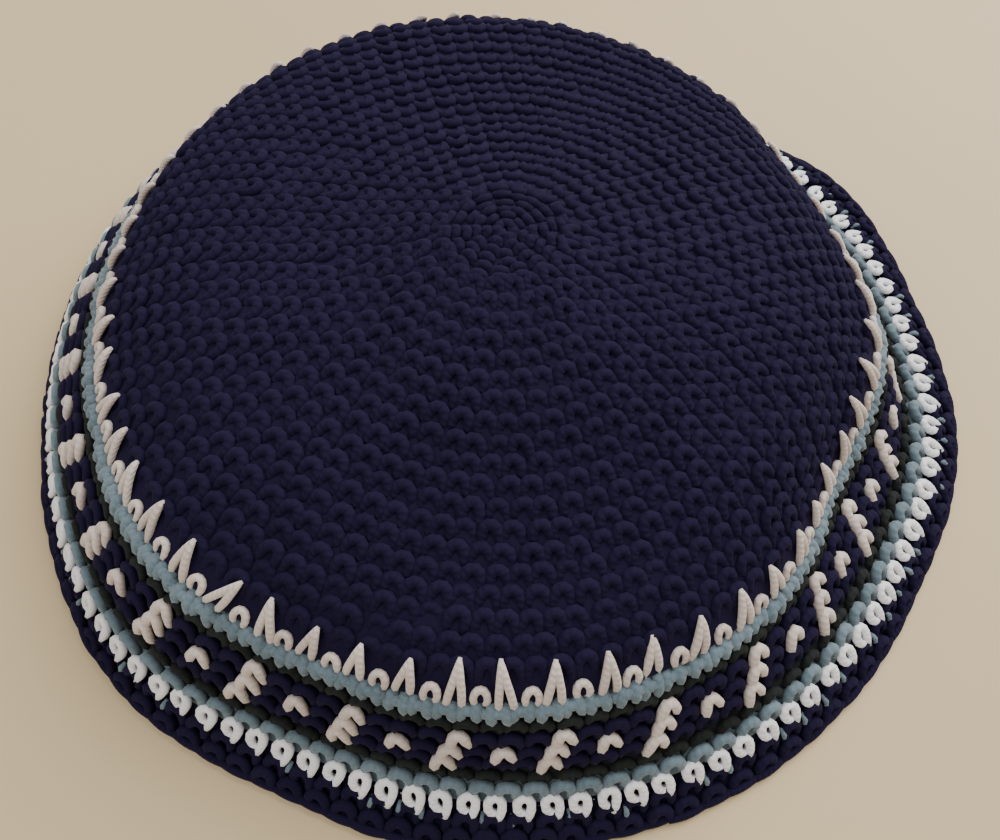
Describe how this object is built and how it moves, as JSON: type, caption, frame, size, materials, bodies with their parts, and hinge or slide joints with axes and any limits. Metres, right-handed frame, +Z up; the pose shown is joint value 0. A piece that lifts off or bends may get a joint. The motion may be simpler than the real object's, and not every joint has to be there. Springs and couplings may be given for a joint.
{
  "type": "knitted kippah",
  "caption": "Round crocheted skullcap with a soft domed crown and a patterned border with pointed spike stitches, lying on its rim with the hollow for the head open below.",
  "frame": {"origin": "middle of the cap's outline on the surface that its rim lies on", "axes": "+Z up through the crown, -Y towards the front of the cap as pictured, +X to the right"},
  "size_m": [0.1604, 0.1578, 0.041],
  "materials": {
    "dark_blue_cotton": "matt crocheted cotton",
    "cream_cotton": "matt crocheted cotton",
    "pale_blue_cotton": "matt crocheted cotton",
    "olive_cotton": "matt crocheted cotton",
    "white_cotton": "crocheted cotton with a slight sheen"
  },
  "bodies": {
    "root": {"crown": "dark_blue_cotton", "spike_round": "cream_cotton", "upper_blue_round": "pale_blue_cotton", "upper_olive_round": "olive_cotton", "pattern_band": "dark_blue_cotton", "lower_olive_round": "olive_cotton", "lower_blue_round": "pale_blue_cotton", "white_round": "white_cotton", "edge_rounds": "dark_blue_cotton"}
  },
  "joints": []
}
